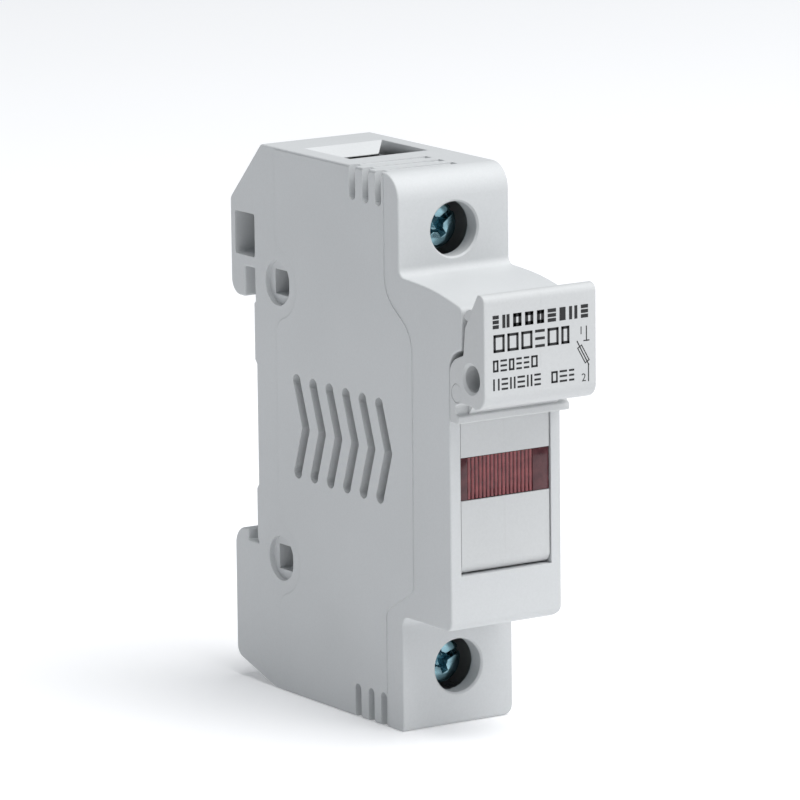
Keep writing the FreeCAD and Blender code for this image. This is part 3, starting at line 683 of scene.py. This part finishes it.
def makePrinting():
    look = inkLook
    marks = []
    for row in look["rows"]:
        marks += rowOfMarks(row)
    for start, end in look["lines"]:
        marks.append(addStroke(start, end, look["thinStroke"]))
    fuse = look["fuse"]
    start, end = Vector(fuse["from"]), Vector(fuse["to"])
    along = (end - start).normalized()
    side = Vector((-along.y, along.x)) * fuse["half"]
    corners = (start + side, end + side, end - side, start - side)
    for first, second in zip(corners, corners[1:] + corners[:1]):
        marks.append(addStroke(first, second, fuse["stroke"]))
    for text, x, z, size in look["digits"]:
        marks.append(addDigit(text, x, z, size))
    printing = joinAll(marks, "handlePrinting")
    finishPiece(printing, "handlePrinting", "carrier", "printInk")


makePrinting()
print("printing made")


# floor, light and camera
stageLook = {"floorSize": 8.0, "floorColor": (0.93, 0.93, 0.94), "floorGlow": 0.15,
              "sky": 0.26, "skyColor": (0.88, 0.94, 1.0), "hazeScale": 3.0, "haze": (0.99, 1.01),
              "roughness": 0.75, "shine": 0.2}
lampLooks = {
    "topBox": {"place": (0.25, -0.45, 1.5), "size": 1.4, "power": 28.0, "aim": (0, 0, 0.03)},
    "frontBox": {"place": (0.65, -1.3, 0.75), "size": 0.9, "power": 5.2, "aim": (0, 0, 0.04)},
}
cameraLook = {"place": (-0.50603, -0.77507, 0.22399), "azimuth": -33.052, "elevation": 11.049, "roll": -0.650,
              "lens": 310.84, "sensor": 36.0, "near": 0.01, "far": 20}


def makeStage():
    focusOn(None)
    bpy.ops.mesh.primitive_plane_add(size=stageLook["floorSize"], location=(0, 0, 0))
    floor = bpy.context.object
    floor.name = "floor"
    material, tree, shader, place = startMaterial("paleFloor")
    haze = addNode(tree, "ShaderNodeTexNoise", {"Vector": place}, Scale=stageLook["hazeScale"])
    color = tree.nodes.new("ShaderNodeRGB")
    color.outputs[0].default_value = (*stageLook["floorColor"], 1)
    value = rangeNode(tree, haze.outputs["Fac"], *noiseSpan, *stageLook["haze"])
    tint = addNode(tree, "ShaderNodeHueSaturation", {"Color": color.outputs[0], "Value": value})
    tree.links.new(tint.outputs["Color"], shader.inputs["Base Color"])
    shader.inputs["Roughness"].default_value = stageLook["roughness"]
    shader.inputs["Specular IOR Level"].default_value = stageLook["shine"]
    shader.inputs["Emission Color"].default_value = (1, 1, 1, 1)
    shader.inputs["Emission Strength"].default_value = stageLook["floorGlow"]
    floor.data.materials.append(material)


def makeSky():
    world = bpy.data.worlds.new("softSky")
    bpy.context.scene.world = world
    world.use_nodes = True
    sky = world.node_tree.nodes["Background"]
    sky.inputs["Color"].default_value = (*stageLook["skyColor"], 1)
    sky.inputs["Strength"].default_value = stageLook["sky"]


def makeLamp(name, look):
    light = bpy.data.lights.new(name, "AREA")
    light.size = look["size"]
    light.energy = look["power"]
    lamp = bpy.data.objects.new(name, light)
    lamp.location = look["place"]
    lamp.rotation_mode = "QUATERNION"
    lamp.rotation_quaternion = (Vector(look["aim"]) - Vector(look["place"])).to_track_quat("-Z", "Y")
    bpy.context.collection.objects.link(lamp)


def makeCamera():
    look = cameraLook
    azimuth, elevation, roll = (math.radians(look[angle]) for angle in ("azimuth", "elevation", "roll"))
    back = Vector((math.sin(azimuth) * math.cos(elevation), -math.cos(azimuth) * math.cos(elevation),
                   math.sin(elevation)))
    right = Vector((math.cos(azimuth), math.sin(azimuth), 0))
    up = back.cross(right)
    tiltedRight = math.cos(roll) * right + math.sin(roll) * up
    tiltedUp = math.cos(roll) * up - math.sin(roll) * right
    camera = bpy.data.objects.new("camera", bpy.data.cameras.new("camera"))
    camera.data.lens = look["lens"]
    camera.data.sensor_width = look["sensor"]
    camera.data.clip_start = look["near"]
    camera.data.clip_end = look["far"]
    turn = Matrix((tiltedRight, tiltedUp, back)).transposed().to_4x4()
    camera.matrix_world = Matrix.Translation(look["place"]) @ turn
    bpy.context.collection.objects.link(camera)
    bpy.context.scene.camera = camera


makeStage()
makeSky()
for lampName, lampLook in lampLooks.items():
    makeLamp(lampName, lampLook)
makeCamera()
bpy.context.scene.view_settings.view_transform = "Standard"
print("stage made")
